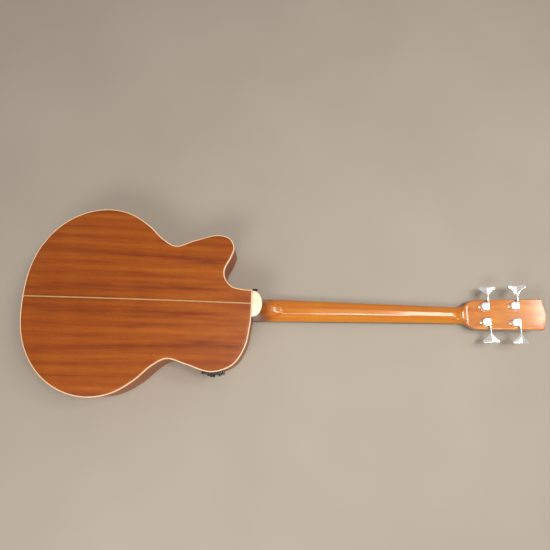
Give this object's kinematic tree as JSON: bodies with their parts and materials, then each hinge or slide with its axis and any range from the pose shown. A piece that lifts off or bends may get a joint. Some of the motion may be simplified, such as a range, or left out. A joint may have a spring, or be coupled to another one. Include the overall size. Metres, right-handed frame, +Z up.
{
  "type": "acoustic bass guitar",
  "caption": "Acoustic-electric bass guitar with a pointed cutaway, arched striped back with cream binding, angled head with open-post tuners and a side preamp, lying face down.",
  "frame": {"origin": "middle of the bounding box at the floor that the bridge pins and the first pair of tuner posts rest on, back up", "axes": "+X along the strings from the body to the head, +Y to the cutaway side, +Z up out of the back"},
  "size_m": [1.277, 0.45, 0.1278],
  "materials": {
    "mahogany": "gloss lacquer over straight ribbon-grained red-brown wood",
    "pale_inlay": "gloss lacquer over a pale inlaid strip",
    "spruce": "pale straight-grained softwood, lacquered outside",
    "lining_wood": "bare pale wood inside the body",
    "cream_binding": "cream celluloid, polished",
    "neck_wood": "amber gloss lacquer over pale brown wood",
    "rosewood": "dark brown open-pored wood, satin",
    "ivory": "ivory-white plastic, polished",
    "steel": "plain steel",
    "bronze": "bronze-wound wire",
    "chrome": "polished chrome plate",
    "black_gloss": "moulded black plastic",
    "black_matt": "plain black plastic housing"
  },
  "bodies": {
    "guitar": {"back_plate": "mahogany", "bass_side": "mahogany", "treble_side": "mahogany", "back_centre_strip": "pale_inlay", "soundboard": "spruce", "x_brace": "spruce", "upper_brace": "spruce", "back_brace_1": "spruce", "back_brace_2": "spruce", "back_brace_3": "spruce", "back_lining": "lining_wood", "top_lining": "lining_wood", "neck_block": "lining_wood", "tail_block": "lining_wood", "bridge_plate": "lining_wood", "back_binding": "cream_binding", "top_binding": "cream_binding", "rosette": "cream_binding", "neck": "neck_wood", "fretboard": "rosewood", "bridge": "rosewood", "headplate": "rosewood", "heel_cap": "ivory", "nut": "ivory", "saddle": "ivory", "bridge_pin_1": "ivory", "bridge_pin_2": "ivory", "bridge_pin_3": "ivory", "bridge_pin_4": "ivory", "truss_rod": "steel", "string_1": "bronze", "string_2": "bronze", "string_3": "bronze", "string_4": "bronze", "saddle_pickup": "bronze", "end_pin_jack": "chrome", "tuner_housing_1": "chrome", "tuner_bushing_1": "chrome", "tuner_housing_2": "chrome", "tuner_bushing_2": "chrome", "tuner_housing_3": "chrome", "tuner_bushing_3": "chrome", "tuner_housing_4": "chrome", "tuner_bushing_4": "chrome", "heel_strap_button": "black_gloss", "preamp_panel": "black_gloss", "preamp_box": "black_matt"},
    "post_1": {"tuner_post_1": "chrome"},
    "post_2": {"tuner_post_2": "chrome"},
    "post_3": {"tuner_post_3": "chrome"},
    "post_4": {"tuner_post_4": "chrome"},
    "key_1": {"tuner_key_1": "chrome"},
    "key_2": {"tuner_key_2": "chrome"},
    "key_3": {"tuner_key_3": "chrome"},
    "key_4": {"tuner_key_4": "chrome"},
    "volume_knob": {"volume_knob": "black_gloss"},
    "bass_slider": {"bass_slider": "black_gloss"},
    "middle_slider": {"middle_slider": "black_gloss"},
    "treble_slider": {"treble_slider": "black_gloss"}
  },
  "joints": [
    {"name": "key_1_turn", "type": "hinge", "parent": "guitar", "child": "key_1", "pos_m": [0.50394, 0.0198, 0.04618], "axis": [0, 1, 0], "continuous": true},
    {"name": "post_1_turn", "type": "hinge", "parent": "guitar", "child": "post_1", "pos_m": [0.49619, 0.0198, 0.03908], "axis": [-0.1791, 0, 0.9838], "continuous": true},
    {"name": "key_2_turn", "type": "hinge", "parent": "guitar", "child": "key_2", "pos_m": [0.57183, 0.0212, 0.05854], "axis": [0, 1, 0], "continuous": true},
    {"name": "post_2_turn", "type": "hinge", "parent": "guitar", "child": "post_2", "pos_m": [0.56407, 0.0212, 0.05144], "axis": [-0.1791, 0, 0.9838], "continuous": true},
    {"name": "key_3_turn", "type": "hinge", "parent": "guitar", "child": "key_3", "pos_m": [0.57183, -0.0212, 0.05854], "axis": [0, 1, 0], "continuous": true},
    {"name": "post_3_turn", "type": "hinge", "parent": "guitar", "child": "post_3", "pos_m": [0.56407, -0.0212, 0.05144], "axis": [-0.1791, 0, 0.9838], "continuous": true},
    {"name": "key_4_turn", "type": "hinge", "parent": "guitar", "child": "key_4", "pos_m": [0.50394, -0.0198, 0.04618], "axis": [0, 1, 0], "continuous": true},
    {"name": "post_4_turn", "type": "hinge", "parent": "guitar", "child": "post_4", "pos_m": [0.49619, -0.0198, 0.03908], "axis": [-0.1791, 0, 0.9838], "continuous": true},
    {"name": "volume_turn", "type": "hinge", "parent": "guitar", "child": "volume_knob", "pos_m": [-0.17525, -0.1664, 0.08303], "axis": [0, -1, 0], "range_deg": [-150, 150]},
    {"name": "bass_slide", "type": "slide", "parent": "guitar", "child": "bass_slider", "axis": [0.0119, 0, 0.9999], "range_m": [-0.009, 0.009]},
    {"name": "middle_slide", "type": "slide", "parent": "guitar", "child": "middle_slider", "axis": [0.0119, 0, 0.9999], "range_m": [-0.009, 0.009]},
    {"name": "treble_slide", "type": "slide", "parent": "guitar", "child": "treble_slider", "axis": [0.0119, 0, 0.9999], "range_m": [-0.009, 0.009]}
  ],
  "couplings": [
    {"joint": "post_1_turn", "follows": "key_1_turn", "ratio": -0.05},
    {"joint": "post_2_turn", "follows": "key_2_turn", "ratio": -0.05},
    {"joint": "post_3_turn", "follows": "key_3_turn", "ratio": -0.05},
    {"joint": "post_4_turn", "follows": "key_4_turn", "ratio": -0.05}
  ]
}
